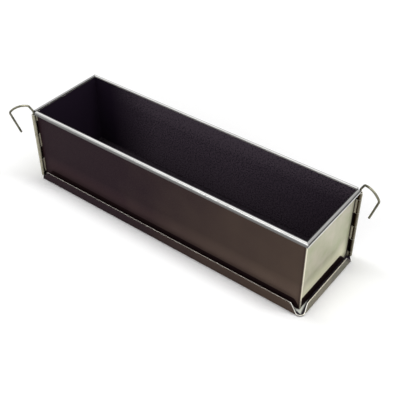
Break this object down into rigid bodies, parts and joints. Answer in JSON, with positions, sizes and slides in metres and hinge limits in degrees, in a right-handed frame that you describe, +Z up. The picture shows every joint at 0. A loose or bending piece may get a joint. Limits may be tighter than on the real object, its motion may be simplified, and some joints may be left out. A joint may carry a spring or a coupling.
{
  "type": "hinged loaf mould",
  "caption": "Long straight-sided rectangular baking mould: L-shaped wall halves joined by pinned corner hinges with wire hooks, standing on a tray with folded lips.",
  "frame": {"origin": "centre of the tray's underside, where the mould stands", "axes": "+Z up out of the tray's floor, +X along the mould's length, +Y across it"},
  "size_m": [0.3408, 0.1073, 0.0852],
  "materials": {
    "tray_lacquer": "glossy dark brown lacquer on sheet steel",
    "wall_lacquer": "glossy bronze-brown lacquer outside, matt black non-stick coat inside",
    "rim_steel": "bright plain steel strip",
    "wire_steel": "drawn steel wire, slightly dulled"
  },
  "bodies": {
    "tray": {"base_tray": "tray_lacquer"},
    "walls": {"front_wall_half": "wall_lacquer", "back_wall_half": "wall_lacquer", "front_rim_strip": "rim_steel", "back_rim_strip": "rim_steel", "front_rim_wire": "wire_steel", "back_rim_wire": "wire_steel"},
    "left_pin": {"left_hinge_pin": "wire_steel"},
    "right_pin": {"right_hinge_pin": "wire_steel"}
  },
  "joints": [
    {"name": "walls_lift", "type": "slide", "parent": "tray", "child": "walls", "axis": [0, 0, 1], "range_m": [0, 0.06]},
    {"name": "left_pin_pull", "type": "slide", "parent": "walls", "child": "left_pin", "axis": [0, 0, 1], "range_m": [0, 0.08]},
    {"name": "right_pin_pull", "type": "slide", "parent": "walls", "child": "right_pin", "axis": [0, 0, 1], "range_m": [0, 0.08]}
  ]
}
